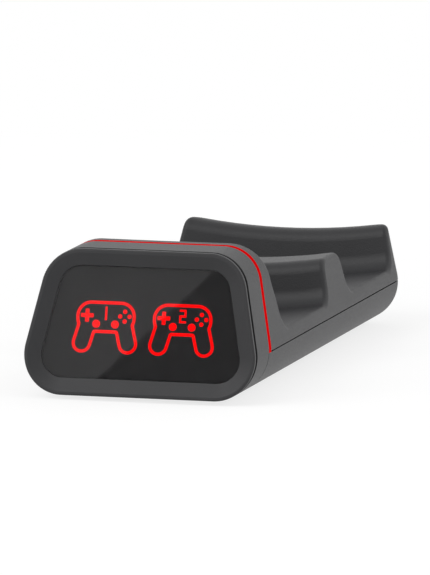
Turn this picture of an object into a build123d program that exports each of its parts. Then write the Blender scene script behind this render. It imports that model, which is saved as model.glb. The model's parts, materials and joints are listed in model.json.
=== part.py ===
from build123d import *
import os
from functools import cache
from math import asin, cos, degrees, hypot, radians, sin, tan

# A two-bay charging dock for game controllers. A leaning head at the front carries a
# lit display, a red light strip arches over the joint behind it, and two saddle-shaped
# bays with sprung charging contacts follow one behind the other.
# Millimetres. +Z is up, the head looks along -Y, and the origin lies under the middle.

os.makedirs("parts", exist_ok=True)

# Cross-section of the housing, seen from the front
FLOOR_WIDTH = 60.9          # across the sides at the underside, before rounding
TOP_WIDTH = 46.4            # across the sides at the top, before rounding
HOUSING_HEIGHT = 33.8
BOTTOM_ROUND = 9.6
TOP_ROUND = 9.5
REAR_ROUND = 4.0
WALL = 2.0
SEAM_HEIGHT = 9.7           # where the upper and lower housings meet
REVEAL_HEIGHT = 0.3         # shadow line along that seam
REVEAL_DEPTH = 0.5
LIP_HEIGHT = 1.0            # lip of the lower housing inside the upper one's wall
RIB_THICKNESS = 1.2
CREST_RIB_SPREAD = 12.0     # sideways place of the ribs inside the crests
FLOOR_RIB_RISE = 1.6        # ribs on the lower housing's floor

# Head, with depths measured square to its leaning face
LEAN = 13.7                 # degrees that the face leans back
RIM_LAND = 0.9              # flat outer border of the rim
RIM_WIDTH = 4.0             # rim from its outer edge to the window
RIM_EDGE = 0.9              # thickness of the rim's outer edge
RIM_ROUND = 0.4
DISH_DEPTH = 1.2            # how deep the rim slopes in to the window
GAP_WIDTH = 1.4             # shadow gap between the rim and the head shell
GAP_DEPTH = 1.2
HEAD_DEPTH = 12.2           # from the face to the light strip
SPIGOT_LENGTH = 4.0         # collar of the bezel inside the head shell
SPIGOT_WALL = 1.8
WINDOW_THICKNESS = 1.6
MASK_THICKNESS = 0.3
MASK_GAP = 0.05             # between the window and the mask
SHELF_WIDTH = 2.0           # ledge behind the window's border
SHELF_THICKNESS = 1.5
TONGUE_WIDTH = 24.0         # flange that screws the head shell to the lower housing
TONGUE_LENGTH = 13.0
TONGUE_THICKNESS = 2.0

# Display behind the window
ICON_PITCH = 18.7
ICON_DROP = 1.0             # middle of the icons below the middle of the head
ICON_WIDTH = 16.0
ICON_HEIGHT = 12.4
ICON_STROKE = 0.75
GUIDE_THICKNESS = 2.6
GUIDE_BORDER = 0.8          # plate of a light guide round its icon
GUIDE_ROUND = 2.0
PAD_HEIGHT = 7.6            # body of the icon, above its two grips
PAD_ROUND = 3.6
GRIP_LENGTH = 9.6
GRIP_WIDTH = 4.8
GRIP_SPLAY = 15.0           # degrees
KEY_SPREAD = 4.6            # sideways place of the two key groups
KEY_RISE = 2.7
KEY_REACH = 1.15            # from a key group's middle to its dots
KEY_DOT = 0.52
CROSS_LENGTH = 3.1
CROSS_WIDTH = 0.95
STICK_SPREAD = 2.3
STICK_RISE = 0.75
STICK_RADIUS = 0.95
DIGIT_RISE = 3.3
DIGIT_WIDTH = 1.7
DIGIT_HEIGHT = 3.2
DIGIT_STROKE = 0.5
DISPLAY_BOARD_DEPTH = 8.0
DISPLAY_BOARD_INSET = 3.2   # from the outside of the head to the board's edge
POST_DIAMETER = 3.6
POST_INSET = 4.8
POST_HEIGHTS = (10.0, 24.5)
POST_HOLE = 3.4             # depth of the screw holes in the posts
LED_LENGTH = 2.0
LED_WIDTH = 1.4
LED_HEIGHT = 0.8
STRIP_LED_INSET = 4.6
STRIP_LED_HEIGHT = 17.0     # level of the two LEDs at the sides
STRIP_LED_SPREAD = 9.0      # sideways place of the two LEDs at the top

# Light strip over the joint between head and base
STRIP_THICKNESS = 2.0
STRIP_BAND = 5.0            # depth of the arch from its outer edge inwards
ARCH_WALL = 2.5             # wall of the upper housing behind the strip
ARCH_LEDGE = 1.0

# Bays
BAY_FLOOR = 11.0            # lowest line of a bay above the underside
BAY_LENGTH = 40.0
BAY_RADIUS = 165.0          # the floor curves up to both sides
BAY_DRAFT = 12.0            # degrees that the bay walls open upwards
BAY_ROUND = 5.0
CREST_HEIGHT = 21.5
CREST_ROUND = 3.5
DIVIDER_WIDTH = 15.0
REAR_CREST = 5.0
BAY_EDGE_ROUND = 1.2
BAY_OVERRUN = 8.0           # the cutting form passes the housing by this much

# Main board, sockets and fasteners
BOARD_THICKNESS = 1.0
BOARD_WIDTH = 22.0
BOARD_HEIGHT = 4.0          # underside of the board above the underside of the housing
BOARD_MARGIN = 0.5          # from the board's ends to the rear wall
BOARD_LEAD = 3.0            # board in front of the front bay's floor
STANDOFF_DIAMETER = 4.4
STANDOFF_INSET = 3.2        # from the board's edges to its screws
REAR_STANDOFF = 13.0        # from the board's rear end to its rear screws
USB_WIDTH = 8.94
USB_HEIGHT = 3.26
USB_LENGTH = 7.35
USB_WALL = 0.3
USB_RECESS = 0.5
USB_GAP = 0.25
USB_TONGUE_WIDTH = 6.7
USB_TONGUE_THICKNESS = 0.7
USB_TONGUE_LENGTH = 5.0
USB_TONGUE_ROUND = 0.5
SCREW_DIAMETER = 2.2
SCREW_HEAD = 4.4
SCREW_HEAD_HEIGHT = 1.1
WELL_DIAMETER = 5.0
WELL_DEPTH = 1.3
SCREW_LENGTH = 6.5          # below the head
SCREW_POST = 4.0            # top of the lower housing's screw posts
SCREW_POST_DIAMETER = 6.4
BOSS_DIAMETER = 5.2
BOSS_HOLE = 5.0             # depth of the screw holes in the bosses
BOSS_SPREAD = 14.5          # sideways place of the housing screws
TONGUE_BOSS_SPREAD = 8.0
TONGUE_BOSS_HEIGHT = 3.0
TONGUE_BOSS_INSET = 4.5     # from the tongue's rear end to its screws
SMALL_SCREW = 1.6
SMALL_SCREW_HEAD = 3.0
SMALL_SCREW_HEAD_HEIGHT = 0.9
SMALL_SCREW_GRIP = 1.6      # thread below the main board
DISPLAY_SCREW_GRIP = 3.0    # thread in the display posts
RECESS_SPAN = 0.6           # share of a screw head that its cross recess spans
RECESS_WIDTH = 0.6          # cross recess of the screws
FOOT_DIAMETER = 10.0
FOOT_HEIGHT = 1.0           # how far the feet stand below the housing
FOOT_POCKET = 0.8
FOOT_BEVEL = 0.4
FOOT_SPREAD = 11.5
FRONT_FOOT = 21.0           # in front of the middle of the front bay
REAR_FOOT = 14.0            # behind the middle of the rear bay

# Components on the main board, between the bays
CHIP_SIZE = 6.0
CHIP_HEIGHT = 0.9
CHIP_SPREAD = 5.0           # sideways place of the two charging circuits
COIL_SIZE = 4.0
COIL_ROUND = 0.8
COIL_HEIGHT = 2.0
CAPACITOR_LENGTH = 3.2
CAPACITOR_WIDTH = 1.6
CAPACITOR_HEIGHT = 1.2

# Sprung charging contacts, two to a bay
CONTACT_PITCH = 8.0
BLOCK_LENGTH = 16.5
BLOCK_WIDTH = 7.0
BLOCK_RISE = 2.5            # above the bay floor
BLOCK_BEVEL = 0.6
BLOCK_CORNER = 1.5
FLANGE_MARGIN = 1.4
FLANGE_THICKNESS = 1.2
BARREL_DIAMETER = 2.5
BARREL_BORE = 2.05
BARREL_BASE = 0.5
BARREL_LIP = 0.5
BARREL_DROP = 0.2           # barrel below the top of its block
PIN_TAIL_LENGTH = 1.5
PIN_DIAMETER = 1.5
PIN_RISE = 1.8              # above the block, at rest
PIN_ROUND = 0.65
SPRING_WIRE = 0.26
SPRING_TURNS = 6

# Clearances
FIT = 0.1                   # between pieces that are pushed together
RUNNING_FIT = 0.025         # round a sliding pin
SEAT_GAP = 0.05             # between a piece and the stop that it comes to
BLOCK_GAP = 0.25            # round a contact block in the bay floor

# Ribbon between the two boards
RIBBON_WIDTH = 8.0
RIBBON_THICKNESS = 0.3
RIBBON_BEND = 2.5
RIBBON_TOP = 15.0           # where the ribbon enters the upper connector
CONNECTOR_SETBACK = 2.0     # from the main board's front end
CONNECTOR_LENGTH = 10.0
CONNECTOR_WIDTH = 4.0
CONNECTOR_HEIGHT = 1.4

# Worked out from the sizes above
SIN_LEAN = sin(radians(LEAN))
COS_LEAN = cos(radians(LEAN))
TAN_LEAN = tan(radians(LEAN))
DRAFT = tan(radians(BAY_DRAFT))
SHELL_FRONT = RIM_EDGE + GAP_WIDTH
SPIGOT_END = SHELL_FRONT + SPIGOT_LENGTH
WINDOW_BACK = DISH_DEPTH + WINDOW_THICKNESS
MASK_FRONT = WINDOW_BACK + MASK_GAP
MASK_BACK = MASK_FRONT + MASK_THICKNESS
SHELF_BACK = MASK_BACK + SHELF_THICKNESS
STRIP_REAR = HEAD_DEPTH + STRIP_THICKNESS
ARCH_REAR = STRIP_REAR + ARCH_WALL
DISPLAY_BOARD_BACK = DISPLAY_BOARD_DEPTH + BOARD_THICKNESS
BOARD_TOP = BOARD_HEIGHT + BOARD_THICKNESS
BLOCK_TOP = BAY_FLOOR + BLOCK_RISE


def face_y(depth, height):
    """Distance behind the front edge of a plane that leans with the face."""
    return (depth + height * SIN_LEAN) / COS_LEAN


CREST_RUN = (CREST_HEIGHT - BAY_FLOOR) * DRAFT
BAY_PITCH = BAY_LENGTH + 2 * CREST_RUN + DIVIDER_WIDTH
HEAD_BACK = face_y(ARCH_REAR, HOUSING_HEIGHT) + ARCH_LEDGE
FRONT_BAY = HEAD_BACK + (HOUSING_HEIGHT - BAY_FLOOR) * DRAFT
LENGTH = FRONT_BAY + BAY_PITCH + BAY_LENGTH + CREST_RUN + REAR_CREST
RIM_TRIM = RIM_ROUND * ((1 + SIN_LEAN) / COS_LEAN - 1)    # taken off the front by rounding
FRONT = -(LENGTH + RIM_TRIM) / 2
REAR = FRONT + LENGTH
BAY_MIDDLES = [FRONT + FRONT_BAY + BAY_LENGTH / 2 + bay * BAY_PITCH for bay in range(2)]
REACH = 4 * (LENGTH + HOUSING_HEIGHT)

UNDERSIDE = Plane.XY.offset(FOOT_HEIGHT)
FACE = Plane(origin=(0, FRONT, FOOT_HEIGHT), x_dir=(1, 0, 0), z_dir=(0, -COS_LEAN, SIN_LEAN))


def outline(height, inset=0.0):
    """Rounded trapezoid of the housing, drawn up from its underside and moved in."""
    slope = (FLOOR_WIDTH - TOP_WIDTH) / 2 / height
    low = inset
    high = height - inset
    half_low = FLOOR_WIDTH / 2 - slope * low - inset * hypot(1, slope)
    half_high = FLOOR_WIDTH / 2 - slope * high - inset * hypot(1, slope)
    corners = [(half_low, low), (half_high, high), (-half_high, high), (-half_low, low)]
    shape = Polygon(*corners, align=None)
    shape = fillet(shape.vertices().sort_by(Axis.Y)[:2], BOTTOM_ROUND - inset)
    return fillet(shape.vertices().sort_by(Axis.Y)[-2:], TOP_ROUND - inset)


def half_width(height):
    """Half the housing's width at a height above its underside."""
    return FLOOR_WIDTH / 2 - (FLOOR_WIDTH - TOP_WIDTH) / 2 * height / HOUSING_HEIGHT


@cache
def straight(inset=0.0):
    """The housing's section carried straight through its length, moved in by a wall."""
    rear = Plane(origin=(0, REAR - inset, FOOT_HEIGHT), x_dir=(1, 0, 0), z_dir=(0, -1, 0))
    return extrude(rear * outline(HOUSING_HEIGHT, inset), amount=LENGTH + HOUSING_HEIGHT)


@cache
def envelope(inset=0.0):
    """The housing's outer form with its rounded rear end, moved in by a wall."""
    return fillet(straight(inset).faces().sort_by(Axis.Y)[-1].edges(), REAR_ROUND - inset)


def slab(near, far):
    """Everything between two planes that lean with the face."""
    return FACE * Pos(0, 0, -(near + far) / 2) * Box(REACH, REACH, far - near)


def level(low, high):
    """Everything between two heights above the underside."""
    return UNDERSIDE * Pos(0, 0, (low + high) / 2) * Box(REACH, REACH, high - low)


def leaning(inset, depth):
    """Section of the head on a plane that leans with the face."""
    return Pos(0, depth * TAN_LEAN) * outline(HOUSING_HEIGHT / COS_LEAN, inset)


def face_prism(shape, near, far):
    """A shape drawn on the face, carried square to it from one depth to another."""
    return extrude(FACE.offset(-far) * shape, amount=far - near)


def face_height(height, depth):
    """Distance up the leaning face that lies at a height above the underside."""
    return height / COS_LEAN + depth * TAN_LEAN


def upright(shape, low, high):
    """A shape seen from above, carried up between two heights above the underside."""
    return extrude(UNDERSIDE.offset(low) * shape, amount=high - low)


def turned(points):
    """A round piece turned from half of its section, standing on the underside."""
    return UNDERSIDE * revolve(Plane.XZ * make_face(Polyline(points, close=True)), Axis.Z)


def bays(grow=0.0):
    """Cutting form of both bays: a stepped profile swung about a line high above them."""
    shift = grow / cos(radians(BAY_DRAFT))
    low = BAY_FLOOR - grow
    crest = CREST_HEIGHT - grow
    top = HOUSING_HEIGHT + BAY_OVERRUN
    past = LENGTH + BAY_OVERRUN
    points = [(FRONT_BAY - (top - BAY_FLOOR) * DRAFT - shift, top)]
    for bay in range(2):
        near = FRONT_BAY + bay * BAY_PITCH - shift
        far = FRONT_BAY + bay * BAY_PITCH + BAY_LENGTH + shift
        if bay:
            points.append((near - (crest - BAY_FLOOR) * DRAFT, crest))
        points.append((near + grow * DRAFT, low))
        points.append((far - grow * DRAFT, low))
        points.append((far + (crest - BAY_FLOOR) * DRAFT, crest))
    points += [(past, crest), (past, top)]
    profile = Polygon(*points, align=None)
    profile = fillet(profile.vertices().group_by(Axis.Y)[0], BAY_ROUND + grow)
    ridges = [v for v in profile.vertices() if abs(v.Y - crest) < 0.001 and v.X < LENGTH]
    profile = fillet(ridges, CREST_ROUND - grow)
    pivot = Axis((0, 0, FOOT_HEIGHT + BAY_FLOOR + BAY_RADIUS), (0, 1, 0))
    swing = degrees(asin(FLOOR_WIDTH / 2 / (BAY_RADIUS - top + BAY_FLOOR)))
    side = Plane(origin=(0, FRONT, FOOT_HEIGHT), x_dir=(0, 1, 0), z_dir=(1, 0, 0))
    return revolve(side * profile, pivot, revolution_arc=2 * swing).rotate(pivot, -swing)


def pair(spread):
    """Places to the left and right of the middle."""
    return (-spread, spread)


def screw(diameter, head, head_height, length):
    """Pan-head screw with a cross recess, its head at the bottom, standing at zero."""
    bevel = head_height / 3
    rows = [(0, 0), (head / 2 - bevel, 0), (head / 2, bevel), (head / 2, head_height),
            (diameter / 2, head_height), (diameter / 2, head_height + length), (0, head_height + length)]
    body = revolve(Plane.XZ * make_face(Polyline(rows, close=True)), Axis.Z)
    bar = Box(head * RECESS_SPAN, RECESS_WIDTH, head_height)
    return body - bar - Rot(0, 0, 90) * bar


def front_bezel():
    """Rim with its dish, the window's pocket, a collar and posts for the display board."""
    rim = straight() & slab(0, RIM_EDGE)
    outward = Axis(FACE.origin, FACE.z_dir)
    rim = fillet(rim.faces().sort_by(outward)[-1].edges(), RIM_ROUND)
    neck = straight(GAP_DEPTH) & slab(RIM_EDGE, SHELL_FRONT)
    collar = straight(WALL + FIT) & slab(SHELL_FRONT, SPIGOT_END)
    mouth = FACE * leaning(RIM_LAND, 0)
    dish = loft([mouth, FACE.offset(-DISH_DEPTH) * leaning(RIM_WIDTH, DISH_DEPTH)])
    pocket = face_prism(leaning(RIM_WIDTH, DISH_DEPTH), DISH_DEPTH, MASK_BACK)
    opening = face_prism(leaning(RIM_WIDTH + SHELF_WIDTH, MASK_BACK), MASK_BACK, SHELF_BACK)
    core = straight(WALL + FIT + SPIGOT_WALL) & slab(SHELF_BACK, SPIGOT_END)
    bezel = rim + neck + collar - dish - pocket - opening - core
    for place in post_places():
        post = face_prism(place * Circle(POST_DIAMETER / 2), MASK_BACK, DISPLAY_BOARD_DEPTH)
        hole = place * Circle(SMALL_SCREW / 2 + SEAT_GAP)
        bezel += post
        bezel -= face_prism(hole, DISPLAY_BOARD_DEPTH - POST_HOLE, DISPLAY_BOARD_DEPTH)
    return bezel


def post_places():
    """Places on the face of the four posts that hold the display board."""
    places = []
    for height in POST_HEIGHTS:
        up = face_height(height, DISPLAY_BOARD_DEPTH)
        places += [Pos(x, up) for x in pair(half_width(height) - POST_INSET)]
    return places


def window_outline():
    """Outline of the window and its mask, which fill the bezel's pocket."""
    return leaning(RIM_WIDTH + FIT, DISH_DEPTH)


def digit(number):
    """Plain segment digit, centred on its place."""
    half = DIGIT_HEIGHT / 2 - DIGIT_STROKE / 2
    side = DIGIT_WIDTH / 2 - DIGIT_STROKE / 2
    across = Rectangle(DIGIT_WIDTH, DIGIT_STROKE)
    down = Rectangle(DIGIT_STROKE, half + DIGIT_STROKE)
    if number == 1:
        return Rectangle(DIGIT_STROKE, DIGIT_HEIGHT)
    bars = [Pos(0, rise) * across for rise in (-half, 0, half)]
    return bars[0] + bars[1] + bars[2] + Pos(side, half / 2) * down + Pos(-side, -half / 2) * down


def icon(number):
    """Plain game-pad pictogram: an outline with keys, sticks and the bay's number."""
    splay = radians(GRIP_SPLAY)
    reach = (GRIP_LENGTH - GRIP_WIDTH) / 2
    grip_x = ICON_WIDTH / 2 - GRIP_WIDTH / 2 - reach * sin(splay)
    grip_y = -ICON_HEIGHT / 2 + GRIP_WIDTH / 2 + reach * cos(splay)
    pad_y = ICON_HEIGHT / 2 - PAD_HEIGHT / 2
    pad = Pos(0, pad_y) * RectangleRounded(ICON_WIDTH - 2 * ICON_STROKE, PAD_HEIGHT, PAD_ROUND)
    for side in (-1, 1):
        turn = 90 + side * GRIP_SPLAY
        pad += Pos(side * grip_x, grip_y) * SlotOverall(GRIP_LENGTH, GRIP_WIDTH, rotation=turn)
    lines = pad - offset(pad, -ICON_STROKE)
    lines += Pos(-KEY_SPREAD, KEY_RISE) * Rectangle(CROSS_LENGTH, CROSS_WIDTH)
    lines += Pos(-KEY_SPREAD, KEY_RISE) * Rectangle(CROSS_WIDTH, CROSS_LENGTH)
    for dot in PolarLocations(KEY_REACH, 4):
        lines += Pos(KEY_SPREAD, KEY_RISE) * dot * Circle(KEY_DOT)
    for x in pair(STICK_SPREAD):
        lines += Pos(x, STICK_RISE) * Circle(STICK_RADIUS)
    return lines + Pos(0, DIGIT_RISE) * digit(number)


def icon_place(number, depth):
    """Middle of an icon on the face."""
    x = (number - 1.5) * ICON_PITCH
    return Pos(x, face_height(HOUSING_HEIGHT / 2 - ICON_DROP, depth))


def display_mask(icons):
    """Dark print behind the window, open where the icons shine through."""
    mask = face_prism(window_outline(), MASK_FRONT, MASK_BACK)
    for number, strokes in icons.items():
        clear = icon_place(number, DISH_DEPTH) * strokes
        mask -= face_prism(clear, MASK_FRONT, MASK_BACK)
    return mask


def icon_light_guide(number, strokes):
    """Clear plate behind the mask with the icon's strokes standing up into it."""
    place = icon_place(number, DISH_DEPTH)
    size = (ICON_WIDTH + 2 * GUIDE_BORDER, ICON_HEIGHT + 2 * GUIDE_BORDER)
    plate = place * RectangleRounded(*size, GUIDE_ROUND)
    guide = face_prism(plate, MASK_BACK, MASK_BACK + GUIDE_THICKNESS)
    return guide + face_prism(place * strokes, MASK_FRONT, MASK_BACK)


def display_board():
    board = leaning(DISPLAY_BOARD_INSET, DISPLAY_BOARD_DEPTH)
    for place in post_places():
        board -= place * Circle(SMALL_SCREW / 2 + FIT)
    return face_prism(board, DISPLAY_BOARD_DEPTH, DISPLAY_BOARD_BACK)


def display_leds():
    """One LED behind each icon, on the front of the display board."""
    chip = Rectangle(LED_LENGTH, LED_WIDTH)
    near = DISPLAY_BOARD_DEPTH - LED_HEIGHT
    return [face_prism(icon_place(number, DISH_DEPTH) * chip, near, DISPLAY_BOARD_DEPTH)
            for number in (1, 2)]


def strip_leds():
    """LEDs on the back of the display board that shine into the light strip."""
    chip = Rectangle(LED_WIDTH, LED_LENGTH)
    top = face_height(HOUSING_HEIGHT - STRIP_LED_INSET, DISPLAY_BOARD_BACK)
    side = face_height(STRIP_LED_HEIGHT, DISPLAY_BOARD_BACK)
    places = [Pos(x, top) * Rot(0, 0, 90) for x in pair(STRIP_LED_SPREAD)]
    places += [Pos(x, side) for x in pair(half_width(STRIP_LED_HEIGHT) - STRIP_LED_INSET)]
    far = DISPLAY_BOARD_BACK + LED_HEIGHT
    return [face_prism(place * chip, DISPLAY_BOARD_BACK, far) for place in places]


def display_screws():
    """Screws that hold the display board to the bezel's posts."""
    length = BOARD_THICKNESS + DISPLAY_SCREW_GRIP
    small = screw(SMALL_SCREW, SMALL_SCREW_HEAD, SMALL_SCREW_HEAD_HEIGHT, length)
    back = Pos(0, 0, -DISPLAY_BOARD_BACK - SMALL_SCREW_HEAD_HEIGHT)
    return [FACE * place * back * small for place in post_places()]


def tongue_rear():
    """Rear end of the head shell's tongue."""
    return FRONT + face_y(HEAD_DEPTH, 0) + TONGUE_LENGTH


def tongue_screw_places():
    return [Pos(x, tongue_rear() - TONGUE_BOSS_INSET) for x in pair(TONGUE_BOSS_SPREAD)]


def bay_screw_places():
    return [Pos(x, y) for y in BAY_MIDDLES for x in pair(BOSS_SPREAD)]


def head_shell():
    """Ring behind the bezel, with a tongue that is screwed down inside the lower housing."""
    ring = (straight() - straight(WALL)) & slab(SHELL_FRONT, HEAD_DEPTH)
    tongue_top = WALL + TONGUE_THICKNESS
    start = FRONT + face_y(DISPLAY_BOARD_BACK + FIT, tongue_top)
    middle = (start + tongue_rear()) / 2
    plan = Pos(0, middle) * Rectangle(TONGUE_WIDTH, tongue_rear() - start)
    shell = ring + upright(plan, WALL, tongue_top)
    boss_top = tongue_top + TONGUE_BOSS_HEIGHT
    for place in tongue_screw_places():
        shell += upright(place * Circle(BOSS_DIAMETER / 2), WALL, boss_top)
        shell -= upright(place * Circle(SCREW_DIAMETER / 2 + SEAT_GAP), WALL, boss_top)
    return shell


def light_strip():
    """Arch of clear red plastic between the head shell and the upper housing."""
    arch = straight() - straight(STRIP_BAND)
    return arch & slab(HEAD_DEPTH, STRIP_REAR) & level(SEAM_HEIGHT, 2 * HOUSING_HEIGHT)


def reveal():
    """Outer skin of the housing that is cut back along its joints."""
    return envelope() - envelope(REVEAL_DEPTH)


def seam_lip(gap):
    """Inner half of the wall along the seam: the lower housing's lip, or the room for it."""
    ring = envelope(WALL / 2 + FIT - gap) - envelope(WALL + gap)
    return ring & slab(STRIP_REAR + FIT - gap, REACH) & level(SEAM_HEIGHT, SEAM_HEIGHT + LIP_HEIGHT + gap)


def crest_ribs():
    """Plates that stiffen the hollow crests, from the level of the bay floors upwards."""
    plan = Rectangle(RIB_THICKNESS, REACH)
    low = BAY_FLOOR - WALL
    return [upright(Pos(x, 0) * plan, low, HOUSING_HEIGHT) for x in pair(CREST_RIB_SPREAD)]


def floor_ribs():
    """Low ribs that tie the lower housing's screw posts together, behind the tongue."""
    front = tongue_rear() + RIB_THICKNESS
    plan = Pos(0, (front + REAR) / 2) * Rectangle(RIB_THICKNESS, REAR - front)
    ribs = [upright(Pos(x, 0) * plan, 0, WALL + FLOOR_RIB_RISE) for x in pair(BOSS_SPREAD)]
    across = Rectangle(FLOOR_WIDTH, RIB_THICKNESS)
    ribs += [upright(Pos(0, y) * across, 0, WALL + FLOOR_RIB_RISE) for y in BAY_MIDDLES]
    return ribs


def upper_housing():
    """Shell with both bays, a closed wall behind the light strip, ribs and screw bosses."""
    blank = envelope() & slab(STRIP_REAR, REACH) & level(SEAM_HEIGHT, 2 * HOUSING_HEIGHT)
    cutter = bays()
    shell = blank - cutter
    shell = fillet(new_edges(blank, cutter, combined=shell), BAY_EDGE_ROUND)
    hollow = envelope(WALL) & slab(ARCH_REAR, REACH) & level(0, 2 * HOUSING_HEIGHT)
    shell -= hollow - bays(WALL) - crest_ribs()
    shell -= reveal() & level(SEAM_HEIGHT, SEAM_HEIGHT + REVEAL_HEIGHT)
    shell -= seam_lip(FIT)
    for place in bay_screw_places():
        shell += upright(place * Circle(BOSS_DIAMETER / 2), SCREW_POST, BAY_FLOOR - WALL / 2)
        hole = place * Circle(SCREW_DIAMETER / 2 + SEAT_GAP)
        shell -= upright(hole, SCREW_POST, SCREW_POST + BOSS_HOLE)
    slot = RectangleRounded(BLOCK_LENGTH + 2 * BLOCK_GAP, BLOCK_WIDTH + 2 * BLOCK_GAP,
                            BLOCK_CORNER + BLOCK_GAP)
    for y in BAY_MIDDLES:
        shell -= upright(Pos(0, y) * slot, SEAM_HEIGHT - WALL, BLOCK_TOP)
    return shell


def board_ends():
    """Front and rear ends of the main board."""
    return FRONT + FRONT_BAY - BOARD_LEAD, REAR - WALL - BOARD_MARGIN


def board_screw_places():
    front, rear = board_ends()
    rows = (front + STANDOFF_INSET, rear - REAR_STANDOFF)
    return [Pos(x, y) for y in rows for x in pair(BOARD_WIDTH / 2 - STANDOFF_INSET)]


def foot_places():
    rows = (BAY_MIDDLES[0] - FRONT_FOOT, BAY_MIDDLES[1] + REAR_FOOT)
    return [Pos(x, y) for y in rows for x in pair(FOOT_SPREAD)]


def socket_section(grow):
    """Full-round section of the charging socket, seen from behind."""
    middle = FOOT_HEIGHT + BOARD_TOP + USB_HEIGHT / 2
    place = Plane(origin=(0, REAR - USB_RECESS, middle), x_dir=(1, 0, 0), z_dir=(0, -1, 0))
    return place * SlotOverall(USB_WIDTH + 2 * grow, USB_HEIGHT + 2 * grow)


def lower_housing():
    """Tray with ribs, screw posts, board standoffs, foot pockets and the socket's opening."""
    tray = envelope() & slab(HEAD_DEPTH, REACH) & level(0, SEAM_HEIGHT)
    tray -= (envelope(WALL) & level(0, 2 * HOUSING_HEIGHT)) - floor_ribs()
    tray -= reveal() & slab(HEAD_DEPTH, HEAD_DEPTH + REVEAL_HEIGHT)
    tray += seam_lip(0)
    for place in board_screw_places():
        tray += upright(place * Circle(STANDOFF_DIAMETER / 2), WALL / 2, BOARD_HEIGHT)
        hole = place * Circle(SMALL_SCREW / 2 + SEAT_GAP)
        tray -= upright(hole, BOARD_HEIGHT - SMALL_SCREW_GRIP - FIT, BOARD_HEIGHT)
    for place in bay_screw_places():
        tray += upright(place * Circle(SCREW_POST_DIAMETER / 2), WALL / 2, SCREW_POST)
    for place in bay_screw_places() + tongue_screw_places():
        tray -= upright(place * Circle(SCREW_DIAMETER / 2 + FIT), 0, SCREW_POST)
        tray -= upright(place * Circle(WELL_DIAMETER / 2), 0, WELL_DEPTH)
    for place in foot_places():
        tray -= upright(place * Circle(FOOT_DIAMETER / 2 + FIT), 0, FOOT_POCKET)
    outlet = extrude(socket_section(USB_GAP), amount=WALL + REAR_ROUND, both=True)
    return tray - outlet


def housing_screws():
    """Screws from below through the lower housing into the tongue and the upper housing."""
    one = screw(SCREW_DIAMETER, SCREW_HEAD, SCREW_HEAD_HEIGHT, SCREW_LENGTH)
    seat = Pos(0, 0, FOOT_HEIGHT + WELL_DEPTH - SCREW_HEAD_HEIGHT)
    return [place * seat * one for place in tongue_screw_places() + bay_screw_places()]


def main_board():
    front, rear = board_ends()
    plan = Pos(0, (front + rear) / 2) * Rectangle(BOARD_WIDTH, rear - front)
    for place in board_screw_places():
        plan -= place * Circle(SMALL_SCREW / 2 + FIT)
    return upright(plan, BOARD_HEIGHT, BOARD_TOP)


def main_board_screws():
    length = BOARD_THICKNESS + SMALL_SCREW_GRIP
    small = screw(SMALL_SCREW, SMALL_SCREW_HEAD, SMALL_SCREW_HEAD_HEIGHT, length)
    seat = Pos(0, 0, FOOT_HEIGHT + BOARD_TOP + SMALL_SCREW_HEAD_HEIGHT) * Rot(180, 0, 0)
    return [place * seat * small for place in board_screw_places()]


def board_components():
    """Charge controllers, coils and capacitors in the space between the two bays."""
    middle = sum(BAY_MIDDLES) / 2
    parts = []
    for x in pair(CHIP_SPREAD):
        chip = Pos(x, middle - CHIP_SIZE) * Rectangle(CHIP_SIZE, CHIP_SIZE)
        coil = Pos(x, middle + COIL_SIZE) * RectangleRounded(COIL_SIZE, COIL_SIZE, COIL_ROUND)
        parts.append(upright(chip, BOARD_TOP, BOARD_TOP + CHIP_HEIGHT))
        parts.append(upright(coil, BOARD_TOP, BOARD_TOP + COIL_HEIGHT))
        capacitor = Pos(x, middle + 2 * COIL_SIZE) * Rectangle(CAPACITOR_LENGTH, CAPACITOR_WIDTH)
        parts.append(upright(capacitor, BOARD_TOP, BOARD_TOP + CAPACITOR_HEIGHT))
    return parts


def ribbon_connectors():
    """Sockets for the ribbon, on the main board and behind the display board."""
    front = board_ends()[0]
    y = front + CONNECTOR_SETBACK + CONNECTOR_WIDTH / 2
    body = Rectangle(CONNECTOR_LENGTH, CONNECTOR_WIDTH)
    lower = upright(Pos(0, y) * body, BOARD_TOP, BOARD_TOP + CONNECTOR_HEIGHT)
    up = face_height(RIBBON_TOP, ribbon_depth()) + CONNECTOR_WIDTH / 2
    far = DISPLAY_BOARD_BACK + CONNECTOR_HEIGHT
    return [lower, face_prism(Pos(0, up) * body, DISPLAY_BOARD_BACK, far)]


def ribbon_depth():
    """Depth of the ribbon's upper run, level with the middle of its connector."""
    return DISPLAY_BOARD_BACK + CONNECTOR_HEIGHT / 2


def display_ribbon():
    """Flat ribbon from the main board forwards and up behind the display board."""
    height = BOARD_TOP + CONNECTOR_HEIGHT / 2
    start = Vector(0, board_ends()[0] + CONNECTOR_SETBACK, FOOT_HEIGHT + height)
    bend = Vector(0, FRONT + face_y(ribbon_depth(), height), FOOT_HEIGHT + height)
    end = Vector(0, FRONT + face_y(ribbon_depth(), RIBBON_TOP), FOOT_HEIGHT + RIBBON_TOP)
    path = FilletPolyline(start, bend, end, radius=RIBBON_BEND)
    section = Plane(origin=start, x_dir=(1, 0, 0), z_dir=(0, -1, 0))
    return sweep(section * Rectangle(RIBBON_WIDTH, RIBBON_THICKNESS), path=path)


def usb_socket_shell():
    """Drawn metal shell of the charging socket, closed at its inner end."""
    shell = extrude(socket_section(0), amount=USB_LENGTH)
    return shell - extrude(socket_section(-USB_WALL), amount=USB_LENGTH - USB_WALL)


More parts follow.
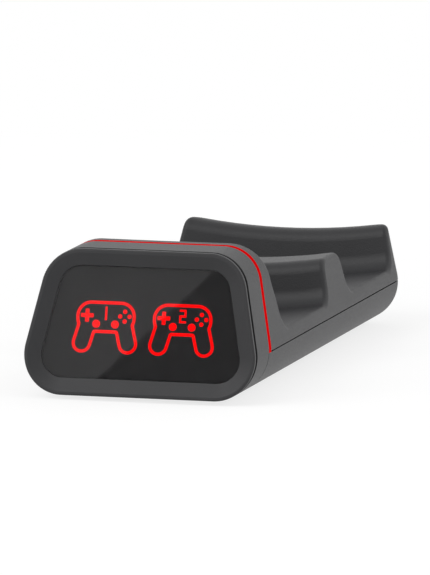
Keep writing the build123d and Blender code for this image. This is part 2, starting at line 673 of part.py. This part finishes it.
def usb_socket_tongue():
    """Flat contact tongue inside the socket, standing on the shell's inner end."""
    inner_end = REAR - USB_RECESS - USB_LENGTH + USB_WALL
    middle = BOARD_TOP + USB_HEIGHT / 2
    plan = Pos(0, inner_end + USB_TONGUE_LENGTH / 2)
    tongue = plan * RectangleRounded(USB_TONGUE_WIDTH, USB_TONGUE_LENGTH, USB_TONGUE_ROUND)
    half = USB_TONGUE_THICKNESS / 2
    return upright(tongue, middle - half, middle + half)


def contact_block(y):
    """Moulded block through the bay floor, with a flange under it and two barrel holes."""
    body = RectangleRounded(BLOCK_LENGTH, BLOCK_WIDTH, BLOCK_CORNER)
    block = upright(body, BOARD_TOP, BLOCK_TOP)
    block = chamfer(block.edges().group_by(Axis.Z)[-1], BLOCK_BEVEL)
    flange = RectangleRounded(BLOCK_LENGTH + 2 * FLANGE_MARGIN, BLOCK_WIDTH + 2 * FLANGE_MARGIN,
                              BLOCK_CORNER + FLANGE_MARGIN)
    flange_top = BAY_FLOOR - WALL - SEAT_GAP
    block += upright(flange, flange_top - FLANGE_THICKNESS, flange_top)
    for x in pair(CONTACT_PITCH / 2):
        block -= upright(Pos(x, 0) * Circle(BARREL_DIAMETER / 2 + SEAT_GAP), BOARD_TOP, BLOCK_TOP)
    return Pos(0, y) * block


def contact_barrel():
    """Brass tube with a closed base and a lip that keeps the pin in."""
    top = BLOCK_TOP - BARREL_DROP
    lip = PIN_DIAMETER / 2 + RUNNING_FIT
    bore = BARREL_BORE / 2
    outer = BARREL_DIAMETER / 2
    rows = [(0, BOARD_TOP), (outer, BOARD_TOP), (outer, top), (lip, top), (lip, top - BARREL_LIP),
            (bore, top - BARREL_LIP), (bore, BOARD_TOP + BARREL_BASE), (0, BOARD_TOP + BARREL_BASE)]
    return turned(rows)


def pin_tail():
    """Lower and upper ends of the pin's wider tail, at rest under the barrel's lip."""
    top = BLOCK_TOP - BARREL_DROP - BARREL_LIP - SEAT_GAP
    return top - PIN_TAIL_LENGTH, top


def contact_pin():
    """Sprung pin with a rounded tip and a tail that slides in the barrel."""
    low, high = pin_tail()
    tail = BARREL_BORE / 2 - RUNNING_FIT
    shaft = PIN_DIAMETER / 2
    tip = BLOCK_TOP + PIN_RISE
    rows = [(0, low), (tail, low), (tail, high), (shaft, high), (shaft, tip), (0, tip)]
    pin = turned(rows)
    return fillet(pin.edges().group_by(Axis.Z)[-1], PIN_ROUND)


def contact_spring():
    """Coil spring between the barrel's base and the pin's tail."""
    low = BOARD_TOP + BARREL_BASE + SEAT_GAP + SPRING_WIRE / 2
    height = pin_tail()[0] - SEAT_GAP - SPRING_WIRE / 2 - low
    radius = BARREL_BORE / 2 - FIT - SPRING_WIRE / 2
    coil = Helix(pitch=height / SPRING_TURNS, height=height, radius=radius)
    start = Plane(origin=coil @ 0, x_dir=(1, 0, 0), z_dir=coil % 0)
    wire = sweep(start * Rectangle(SPRING_WIRE, SPRING_WIRE), path=coil, is_frenet=True)
    return UNDERSIDE * Pos(0, 0, low) * wire


def rubber_foot():
    """Rubber disc with a bevelled lower edge, seated in its pocket."""
    radius = FOOT_DIAMETER / 2
    rows = [(0, -FOOT_HEIGHT), (radius - FOOT_BEVEL, -FOOT_HEIGHT), (radius, FOOT_BEVEL - FOOT_HEIGHT),
            (radius, FOOT_POCKET), (0, FOOT_POCKET)]
    return turned(rows)


def save(name, *solids):
    """Write one node, which holds one solid or a group of like ones."""
    shape = solids[0] if len(solids) == 1 else Compound(children=list(solids))
    export_step(shape, f"parts/{name}.step")


icons = {number: icon(number) for number in (1, 2)}

save("lower_housing", lower_housing())
save("upper_housing", upper_housing())
save("head_shell", head_shell())
save("front_bezel", front_bezel())
save("light_strip", light_strip())
save("display_window", face_prism(window_outline(), DISH_DEPTH, WINDOW_BACK))
save("display_mask", display_mask(icons))
for number, strokes in icons.items():
    save(f"icon_light_guide_{number}", icon_light_guide(number, strokes))
save("display_board", display_board())
save("display_leds", *display_leds())
save("strip_leds", *strip_leds())
save("display_board_screws", *display_screws())
save("display_ribbon", display_ribbon())
save("ribbon_connectors", *ribbon_connectors())
save("main_board", main_board())
save("main_board_screws", *main_board_screws())
save("board_components", *board_components())
save("usb_socket_shell", usb_socket_shell())
save("usb_socket_tongue", usb_socket_tongue())
save("housing_screws", *housing_screws())

for bay, y in zip(("front", "rear"), BAY_MIDDLES):
    places = {side: Pos(x, y) for side, x in zip(("left", "right"), pair(CONTACT_PITCH / 2))}
    save(f"{bay}_contact_block", contact_block(y))
    save(f"{bay}_contact_barrels", *[place * contact_barrel() for place in places.values()])
    for side, place in places.items():
        save(f"{bay}_contact_pin_{side}", place * contact_pin())
        save(f"{bay}_contact_spring_{side}", place * contact_spring())

foot_names = [f"{row}_{side}_foot" for row in ("front", "rear") for side in ("left", "right")]
for name, place in zip(foot_names, foot_places()):
    save(name, place * rubber_foot())
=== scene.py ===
import json
from math import cos, pi, radians, sin

import bpy
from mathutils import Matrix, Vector

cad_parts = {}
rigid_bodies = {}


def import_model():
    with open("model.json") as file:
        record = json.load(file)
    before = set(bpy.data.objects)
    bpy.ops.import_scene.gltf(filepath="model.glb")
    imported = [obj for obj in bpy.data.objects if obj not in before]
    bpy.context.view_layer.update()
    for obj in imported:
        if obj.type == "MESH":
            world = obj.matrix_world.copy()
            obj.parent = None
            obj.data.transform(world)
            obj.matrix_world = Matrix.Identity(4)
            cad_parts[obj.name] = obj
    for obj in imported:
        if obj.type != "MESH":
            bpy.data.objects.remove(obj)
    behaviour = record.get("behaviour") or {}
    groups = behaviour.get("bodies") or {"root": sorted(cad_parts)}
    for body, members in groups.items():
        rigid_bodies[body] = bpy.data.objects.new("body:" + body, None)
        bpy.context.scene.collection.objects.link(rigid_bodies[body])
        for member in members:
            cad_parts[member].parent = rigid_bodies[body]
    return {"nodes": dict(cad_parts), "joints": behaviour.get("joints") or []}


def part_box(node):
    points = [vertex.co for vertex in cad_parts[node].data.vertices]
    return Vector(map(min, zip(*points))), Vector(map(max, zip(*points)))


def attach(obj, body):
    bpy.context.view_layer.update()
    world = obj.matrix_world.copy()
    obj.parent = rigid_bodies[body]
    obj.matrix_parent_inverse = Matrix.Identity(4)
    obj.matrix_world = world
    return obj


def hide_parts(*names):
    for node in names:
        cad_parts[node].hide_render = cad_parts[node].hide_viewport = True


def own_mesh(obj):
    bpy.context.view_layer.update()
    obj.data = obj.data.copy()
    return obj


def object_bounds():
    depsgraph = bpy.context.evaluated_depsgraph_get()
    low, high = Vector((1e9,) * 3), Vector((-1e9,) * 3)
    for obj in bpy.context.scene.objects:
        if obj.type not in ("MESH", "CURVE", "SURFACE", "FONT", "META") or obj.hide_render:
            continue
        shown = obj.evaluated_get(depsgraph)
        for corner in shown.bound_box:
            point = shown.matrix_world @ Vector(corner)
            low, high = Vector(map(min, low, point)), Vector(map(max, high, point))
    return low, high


# Looks of the two-bay charging dock: moulded black plastic, a smoked window over lit icons,
# a red light strip and sprung gold contacts. Metres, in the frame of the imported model.

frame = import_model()
cad_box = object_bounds()
MM = 0.001
MIDDLE = (cad_box[0] + cad_box[1]) / 2

# Camera and its picture
AZIMUTH = 15.5                  # degrees to the right of the dock's front
ELEVATION = 8.5
LENS = 800.0                    # millimetres, long enough to keep the sides nearly parallel
SENSOR = 36.0                   # millimetres along the longer side of the picture
PICTURE = (430, 575)
PICTURE_WIDTH = 103 * MM        # what the picture spans at the dock's middle

# Studio
WORLD_LEVEL = 0.50              # light from all round
WHITE = 1.0                     # what the surroundings show to the camera, in gloss and through glass
FLOOR_RADIUS = 2.5
FLOOR_SIDES = 96
FLOOR_GAP = 0.05 * MM           # between the feet and the floor
FLOOR_COLOUR = (0.94, 0.94, 0.94)
FLOOR_CLOUD = 300 * MM
FLOOR_SHARE = 0.68              # share of the floor that shows plain white at the dock
FLOOR_LIFT = 1.14               # level of that white, which makes up for the dimmer lit share
FLOOR_FADE = (0.12, 0.40)       # radii between which both of these go over to 1
CARD_LEVEL = 0.15               # dark card whose edge is mirrored across the window
CARD_DISTANCE = 0.6
CARD_SIZE = 0.2
CARD_EDGE = ((-10.7 * MM, -13.0 * MM), (15.5 * MM, 12.9 * MM))   # on the window, from its middle

# Surfaces, with grain given as the size of one spot
CLOUD = 14 * MM
MOULD_GRAIN = 0.30 * MM
FINE_GRAIN = 0.12 * MM
NOISE_SPAN = (0.3, 0.7)         # stretch of a noise's values that is spread over 0 to 1
EDGE_WIDTH = 0.5 * MM           # border along an edge that handling has polished and that carries a painted sheen
EDGE_TURN = 0.7                 # cosine of the turn at which that polish and the painted sheen are full
BEVEL_SAMPLES = 6
LIT_RED = (1.0, 0.0005, 0.001)
UNLIT_RED = (0.25, 0.003, 0.004)
SOLDER_MASK = (0.012, 0.07, 0.03)
COVERED_COPPER = (0.03, 0.16, 0.06)
TRACK_PITCH = 0.8 * MM          # copper tracks of the circuit boards
TRACK_LENGTH = 12.8 * MM
TRACK_WIDTH = 0.15              # in pitches
TRACK_STAGGER = 0.4             # in lengths, from one row to the next
WAVE_RATE = 20                  # radians that a wave texture runs through in one unit of its place
STRIPE_EDGE = (0.55, 0.65)      # wave values between which one stripe goes over to the next

# Springs under the contact pins
SPRING_WIRE = 0.26 * MM
SPRING_TURNS = 6
TURN_STEPS = 24


class Tree:
    """A node tree that is built up step by step."""

    def __init__(self, owner):
        owner.use_nodes = True
        self.nodes = owner.node_tree.nodes
        self.links = owner.node_tree.links

    def node(self, kind, inputs, **settings):
        """New node, whose inputs are given as values or as outputs of other nodes."""
        made = self.nodes.new(kind)
        for key, value in settings.items():
            setattr(made, key, value)
        for key, value in inputs.items():
            if isinstance(value, bpy.types.NodeSocket):
                self.links.new(value, made.inputs[key])
            else:
                made.inputs[key].default_value = value
        return made

    def math(self, operation, first, second):
        """Result of one step of arithmetic."""
        return self.node("ShaderNodeMath", {0: first, 1: second}, operation=operation).outputs[0]

    def span(self, source, low, high, start=0.0, end=1.0):
        """A value moved from one range to another."""
        inputs = {"Value": source, "From Min": start, "From Max": end, "To Min": low, "To Max": high}
        return self.node("ShaderNodeMapRange", inputs).outputs["Result"]

    def shown(self):
        """1 for what the camera sees directly, in gloss or through glass, 0 for plain lighting."""
        rays = self.node("ShaderNodeLightPath", {}).outputs
        direct = self.math("MAXIMUM", rays["Is Camera Ray"], rays["Is Glossy Ray"])
        return self.math("MAXIMUM", direct, rays["Is Transmission Ray"])


class Finish(Tree):
    """A procedural material on the Principled shader."""

    def __init__(self, name, **settings):
        self.material = bpy.data.materials.new(name + "_finish")
        super().__init__(self.material)
        self.shader = self.nodes["Principled BSDF"]
        self.place = self.node("ShaderNodeTexCoord", {}).outputs["Object"]
        for socket, value in settings.items():
            self.shader.inputs[socket.replace("_", " ")].default_value = value

    def link(self, source, socket):
        """Drive one of the shader's sockets."""
        self.links.new(source, self.shader.inputs[socket])

    def noise(self, spot, detail=2.0, stretch=(1, 1, 1)):
        """Soft noise from 0 to 1 with spots of the given size, drawn out where stretch is small."""
        scaled = self.node("ShaderNodeVectorMath", {0: self.place, 1: stretch}, operation="MULTIPLY")
        inputs = {"Vector": scaled.outputs[0], "Scale": 1 / spot, "Detail": detail}
        return self.span(self.node("ShaderNodeTexNoise", inputs).outputs["Fac"], 0, 1, *NOISE_SPAN)

    def edges(self):
        """Rises from 0 to 1 towards the edges of the piece."""
        bevel = self.node("ShaderNodeBevel", {"Radius": EDGE_WIDTH}, samples=BEVEL_SAMPLES)
        flat = self.node("ShaderNodeNewGeometry", {}).outputs["Normal"]
        inputs = {0: bevel.outputs["Normal"], 1: flat}
        turn = self.node("ShaderNodeVectorMath", inputs, operation="DOT_PRODUCT")
        return self.span(turn.outputs["Value"], 1, 0, EDGE_TURN, 1)

    def closeness(self, centres, reach):
        """1 at each of the given points, falling to 0 at a distance from them."""
        distances = [self.node("ShaderNodeVectorMath", {0: self.place, 1: centre}, operation="DISTANCE")
                     for centre in centres]
        nearest = distances[0].outputs["Value"]
        for other in distances[1:]:
            nearest = self.math("MINIMUM", nearest, other.outputs["Value"])
        return self.span(nearest, 1, 0, 0, reach)

    def blend(self, source, first, second):
        """Colour between two, by a value from 0 to 1."""
        inputs = {0: source, 6: (*first, 1), 7: (*second, 1)}
        return self.node("ShaderNodeMix", inputs, data_type="RGBA").outputs[2]

    def tint(self, source, colour, spread):
        """Base colour that wanders by a share to both sides."""
        dark = [c * (1 - spread) for c in colour]
        light = [c * (1 + spread) for c in colour]
        self.link(self.blend(source, dark, light), "Base Color")

    def roughen(self, source, middle, spread):
        """Roughness that wanders to both sides of a middle value."""
        self.link(self.span(source, middle - spread, middle + spread), "Roughness")

    def emboss(self, source, depth):
        """Relief of the given depth."""
        inputs = {"Height": source, "Distance": depth}
        self.link(self.node("ShaderNodeBump", inputs).outputs["Normal"], "Normal")


def moulded(name, colour, roughness, grain=MOULD_GRAIN, depth=0.02 * MM, specular=0.35):
    """Moulded plastic: a fine eroded grain, a slow change of tone, edges polished by handling and a
    painted sheen that lightens them.
    """
    finish = Finish(name, Specular_IOR_Level=specular)
    fine = finish.noise(grain, detail=3)
    edges = finish.edges()
    # Painted highlight: the edge mask lightens the base colour as a sheen along every edge; the
    # roughness below drops there as real polish from handling.
    tone = finish.math("ADD", finish.noise(CLOUD, detail=3), edges)
    finish.tint(tone, colour, spread=0.10)
    finish.roughen(finish.math("SUBTRACT", fine, edges), roughness, spread=0.06)
    finish.emboss(fine, depth)
    return finish.material


def metal(name, colour, roughness, stretch=(1, 1, 1)):
    """Plated or drawn metal with fine lines along one way."""
    finish = Finish(name, Metallic=1.0)
    lines = finish.noise(FINE_GRAIN, detail=3, stretch=stretch)
    finish.tint(finish.noise(CLOUD / 6), colour, spread=0.08)
    finish.roughen(lines, roughness, spread=0.08)
    finish.emboss(lines, depth=0.004 * MM)
    return finish.material


def smoked_acrylic(name, colour):
    """Polished clear plastic with the faintest change in its tint and polish."""
    finish = Finish(name, Transmission_Weight=1.0, IOR=1.30)
    finish.tint(finish.noise(CLOUD), colour, spread=0.03)
    finish.roughen(finish.noise(CLOUD / 4), middle=0.01, spread=0.003)
    return finish.material


def print_layer(name, colour):
    """Matt dark print."""
    finish = Finish(name, Specular_IOR_Level=0.1)
    grain = finish.noise(FINE_GRAIN)
    finish.tint(grain, colour, spread=0.05)
    finish.roughen(grain, middle=0.6, spread=0.05)
    return finish.material


def lit_plastic(name, centres, strength, spread, reach):
    """Frosted red plastic that glows, most where the lamps behind it are."""
    finish = Finish(name, Specular_IOR_Level=0.0, Emission_Color=(*LIT_RED, 1))
    grain = finish.noise(MOULD_GRAIN)
    finish.tint(grain, UNLIT_RED, spread=0.1)
    finish.roughen(grain, middle=0.45, spread=0.05)
    glow = finish.closeness(centres, reach)
    finish.link(finish.span(glow, strength * (1 - spread), strength * (1 + spread)), "Emission Strength")
    return finish.material


def circuit_board(name):
    """Solder mask over copper tracks that show as lighter raised lines."""
    finish = Finish(name, Coat_Weight=0.3)
    inputs = {"Vector": finish.place, "Scale": 1 / TRACK_PITCH, "Row Height": 1.0,
              "Brick Width": TRACK_LENGTH / TRACK_PITCH, "Mortar Size": TRACK_WIDTH}
    tracks = finish.node("ShaderNodeTexBrick", inputs, offset=TRACK_STAGGER).outputs["Fac"]
    finish.link(finish.blend(tracks, SOLDER_MASK, COVERED_COPPER), "Base Color")
    finish.roughen(finish.noise(MOULD_GRAIN), middle=0.35, spread=0.05)
    finish.emboss(tracks, depth=0.03 * MM)
    return finish.material


def banded(name, first, second, pitch, roughness):
    """Stripes side by side, for the ribbon's conductors and the socket's contacts."""
    finish = Finish(name)
    inputs = {"Vector": finish.place, "Scale": 2 * pi / (WAVE_RATE * pitch)}
    wave = finish.node("ShaderNodeTexWave", inputs, bands_direction="X").outputs["Fac"]
    stripe = finish.span(wave, 0, 1, *STRIPE_EDGE)
    finish.link(finish.blend(stripe, first, second), "Base Color")
    finish.roughen(finish.noise(MOULD_GRAIN), roughness, spread=0.05)
    finish.emboss(stripe, depth=0.01 * MM)
    return finish.material


def rubber(name, colour):
    """Dull rubber with specks."""
    finish = Finish(name, Specular_IOR_Level=0.25)
    specks = finish.noise(MOULD_GRAIN, detail=4)
    finish.tint(specks, colour, spread=0.3)
    finish.roughen(specks, middle=0.8, spread=0.08)
    finish.emboss(specks, depth=0.04 * MM)
    return finish.material


def lamp_chip(name, colour):
    """Resin of a small lamp that glows red."""
    finish = Finish(name, Emission_Color=(*LIT_RED, 1))
    grain = finish.noise(MOULD_GRAIN)
    finish.tint(grain, colour, spread=0.06)
    finish.roughen(grain, middle=0.3, spread=0.05)
    finish.link(finish.span(grain, low=1.5, high=2.5), "Emission Strength")
    return finish.material


def box_middle(node):
    """Middle of the box round a node."""
    low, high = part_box(node)
    return (low + high) / 2


def strip_lamp_places():
    """About where the four lamps behind the light strip are: two at its top and one at each side."""
    low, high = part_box("strip_leds")
    inward = (high.x - low.x) / 4
    top = [(x, high.y, high.z) for x in (low.x + inward, high.x - inward)]
    return top + [(x, low.y, low.z) for x in (low.x, high.x)]


def finish_nodes():
    """Give each material slot of the frame its finish."""
    icons = [box_middle(f"icon_light_guide_{number}") for number in (1, 2)]
    strip = strip_lamp_places()
    film, conductor = (0.78, 0.77, 0.72), (0.62, 0.60, 0.55)
    black, gold = (0.02, 0.02, 0.02), (0.80, 0.58, 0.22)
    finishes = {
        "housing_plastic": moulded("housing", (0.026, 0.026, 0.028), roughness=0.46),
        "bezel_plastic": moulded("bezel", (0.027, 0.027, 0.029), roughness=0.42, grain=FINE_GRAIN),
        "smoked_window": smoked_acrylic("window", (0.50, 0.495, 0.50)),
        "mask_print": print_layer("mask", (0.115, 0.115, 0.117)),
        "icon_red": lit_plastic("icon", icons, strength=2.3, spread=0.10, reach=9 * MM),
        "strip_red": lit_plastic("strip", strip, strength=0.42, spread=0.15, reach=22 * MM),
        "circuit_board": circuit_board("board"),
        "led": lamp_chip("led", (0.85, 0.80, 0.62)),
        "component_black": moulded("component", (0.025, 0.025, 0.026), roughness=0.55, grain=FINE_GRAIN),
        "connector_ivory": moulded("connector", (0.72, 0.68, 0.56), roughness=0.5, grain=FINE_GRAIN),
        "ribbon_film": banded("ribbon", film, conductor, pitch=1 * MM, roughness=0.35),
        "screw_steel": metal("screw", (0.48, 0.48, 0.50), roughness=0.34),
        "socket_steel": metal("socket", (0.66, 0.66, 0.67), roughness=0.28, stretch=(1, 0.1, 1)),
        "socket_plastic": banded("socket_tongue", black, gold, pitch=0.5 * MM, roughness=0.4),
        "block_plastic": moulded("block", (0.022, 0.022, 0.023), roughness=0.4, grain=FINE_GRAIN),
        "contact_gold": metal("contact", (0.86, 0.62, 0.24), roughness=0.22, stretch=(0.1, 0.1, 1)),
        "spring_steel": metal("spring", (0.60, 0.60, 0.61), roughness=0.3),
        "foot_rubber": rubber("foot", (0.022, 0.022, 0.022)),
    }
    for node in frame["nodes"].values():
        for slot in node.material_slots:
            slot.material = finishes[slot.material.name]


def add(name, data):
    """New object in the scene."""
    made = bpy.data.objects.new(name, data)
    bpy.context.scene.collection.objects.link(made)
    return made


def coil_mesh(name, radius, height):
    """Round wire wound into a coil, from the origin upwards."""
    curve = bpy.data.curves.new(name, "CURVE")
    curve.dimensions = "3D"
    curve.bevel_depth = SPRING_WIRE / 2
    curve.use_fill_caps = True
    steps = SPRING_TURNS * TURN_STEPS
    spline = curve.splines.new("POLY")
    spline.points.add(steps)
    for step, point in enumerate(spline.points):
        turn = 2 * pi * step / TURN_STEPS
        point.co = (radius * cos(turn), radius * sin(turn), height * step / steps, 1)
    guide = bpy.data.objects.new(name, curve)
    mesh = bpy.data.meshes.new_from_object(guide)
    bpy.data.objects.remove(guide)
    mesh.shade_smooth()
    return mesh


def add_spring(joint):
    """Coil that stands for the spring under a contact pin."""
    stored = joint["deforming_nodes"][0]
    node = frame["nodes"][stored["node"]]
    low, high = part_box(node.name)
    middle = (low + high) / 2
    radius = (high.x - low.x - SPRING_WIRE) / 2
    mesh = coil_mesh(joint["child"] + "_coil", radius, high.z - low.z - SPRING_WIRE)
    mesh.materials.append(node.active_material)
    coil = add(mesh.name, mesh)
    coil.location = (middle.x, middle.y, low.z + SPRING_WIRE / 2)
    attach(coil, joint["parent"])
    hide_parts(node.name)
    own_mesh(coil)


def aim(obj, direction):
    """Turn a lamp or the camera to look in a direction."""
    obj.rotation_mode = "QUATERNION"
    obj.rotation_quaternion = direction.to_track_quat("-Z", "Y")


def from_angles(azimuth, elevation):
    """Direction from the dock towards a place, by the same angles as the camera's."""
    turn, rise = radians(azimuth), radians(elevation)
    return Vector((sin(turn) * cos(rise), -cos(turn) * cos(rise), sin(rise)))


def stage_mesh(name, corners, material):
    """Flat piece of the studio with the given outline."""
    mesh = bpy.data.meshes.new(name)
    mesh.from_pydata(corners, [], [range(len(corners))])
    mesh.materials.append(material)
    made = add(name, mesh)
    return made


def add_floor():
    """Pale round floor that keeps the dock's shadow and fades to plain white around it."""
    finish = Finish("floor", Specular_IOR_Level=0.1)
    finish.tint(finish.noise(FLOOR_CLOUD), FLOOR_COLOUR, spread=0.01)
    finish.roughen(finish.noise(CLOUD), middle=0.9, spread=0.05)
    radius = finish.node("ShaderNodeVectorMath", {0: finish.place}, operation="LENGTH").outputs["Value"]
    level = finish.span(radius, FLOOR_LIFT, WHITE, *FLOOR_FADE)
    glow = finish.node("ShaderNodeEmission", {"Strength": level}).outputs[0]
    white = finish.span(radius, FLOOR_SHARE, 1, *FLOOR_FADE)
    share = finish.math("MULTIPLY", finish.shown(), white)
    mixed = finish.node("ShaderNodeMixShader", {0: share, 1: finish.shader.outputs[0], 2: glow})
    finish.links.new(mixed.outputs[0], finish.nodes["Material Output"].inputs["Surface"])
    turns = [2 * pi * step / FLOOR_SIDES for step in range(FLOOR_SIDES)]
    height = cad_box[0].z - FLOOR_GAP
    ring = [(FLOOR_RADIUS * cos(turn), FLOOR_RADIUS * sin(turn), height) for turn in turns]
    stage_mesh("floor", ring, finish.material)


def add_card():
    """Dark card in front of the dock, so that the window mirrors white above a slanting edge."""
    window = frame["nodes"]["display_window"].data
    normal = min((face.normal for face in window.polygons), key=lambda n: n.y)
    side = Vector((1, 0, 0))
    up = normal.cross(side)
    view = from_angles(AZIMUTH, ELEVATION)
    mirrored = 2 * normal.dot(view) * normal - view
    opposite = box_middle("display_window") + mirrored * CARD_DISTANCE
    ends = [opposite + side * x + up * y for x, y in CARD_EDGE]
    along = (ends[1] - ends[0]).normalized()
    below = along.cross(normal)
    middle = (ends[0] + ends[1]) / 2
    start, end = middle - along * CARD_SIZE / 2, middle + along * CARD_SIZE / 2
    material = bpy.data.materials.new("card_finish")
    tree = Tree(material)
    glow = tree.node("ShaderNodeEmission", {"Strength": CARD_LEVEL}).outputs[0]
    tree.links.new(glow, tree.nodes["Material Output"].inputs["Surface"])
    card = stage_mesh("card", [start, end, end + below * CARD_SIZE, start + below * CARD_SIZE], material)
    card.visible_camera = card.visible_diffuse = card.visible_shadow = False


def add_lamp(name, azimuth, elevation, distance, size, level):
    """Soft lamp turned to the dock's middle; level is what a white surface there shows of it."""
    data = bpy.data.lights.new(name, "AREA")
    data.shape = "RECTANGLE"
    data.size, data.size_y = size
    data.energy = level * pi * pi * distance ** 2
    lamp = add(name, data)
    direction = from_angles(azimuth, elevation)
    lamp.location = MIDDLE + direction * distance
    aim(lamp, -direction)
    lamp.visible_camera = lamp.visible_transmission = False


def add_world():
    """Even light from all round that shows as plain white."""
    world = bpy.data.worlds.new("studio")
    bpy.context.scene.world = world
    tree = Tree(world)
    background = tree.nodes["Background"]
    background.inputs["Color"].default_value = (1, 1, 1, 1)
    tree.links.new(tree.span(tree.shown(), WORLD_LEVEL, WHITE), background.inputs["Strength"])


def add_camera():
    """Camera at the picture's angle, so far back that the dock fills the picture's width."""
    data = bpy.data.cameras.new("camera")
    data.lens = LENS
    data.sensor_width = SENSOR
    camera = add("camera", data)
    back = from_angles(AZIMUTH, ELEVATION)
    picture_height = PICTURE_WIDTH * PICTURE[1] / PICTURE[0]
    camera.location = MIDDLE + back * picture_height * LENS / SENSOR
    aim(camera, -back)
    bpy.context.scene.camera = camera


finish_nodes()
for joint in frame["joints"]:
    add_spring(joint)
add_floor()
add_card()
add_world()
add_lamp("key", azimuth=-38, elevation=42, distance=1.0, size=(0.7, 0.7), level=0.34)
add_lamp("side", azimuth=105, elevation=25, distance=1.0, size=(0.5, 0.9), level=0.20)
add_camera()
bpy.context.scene.view_settings.view_transform = "Standard"
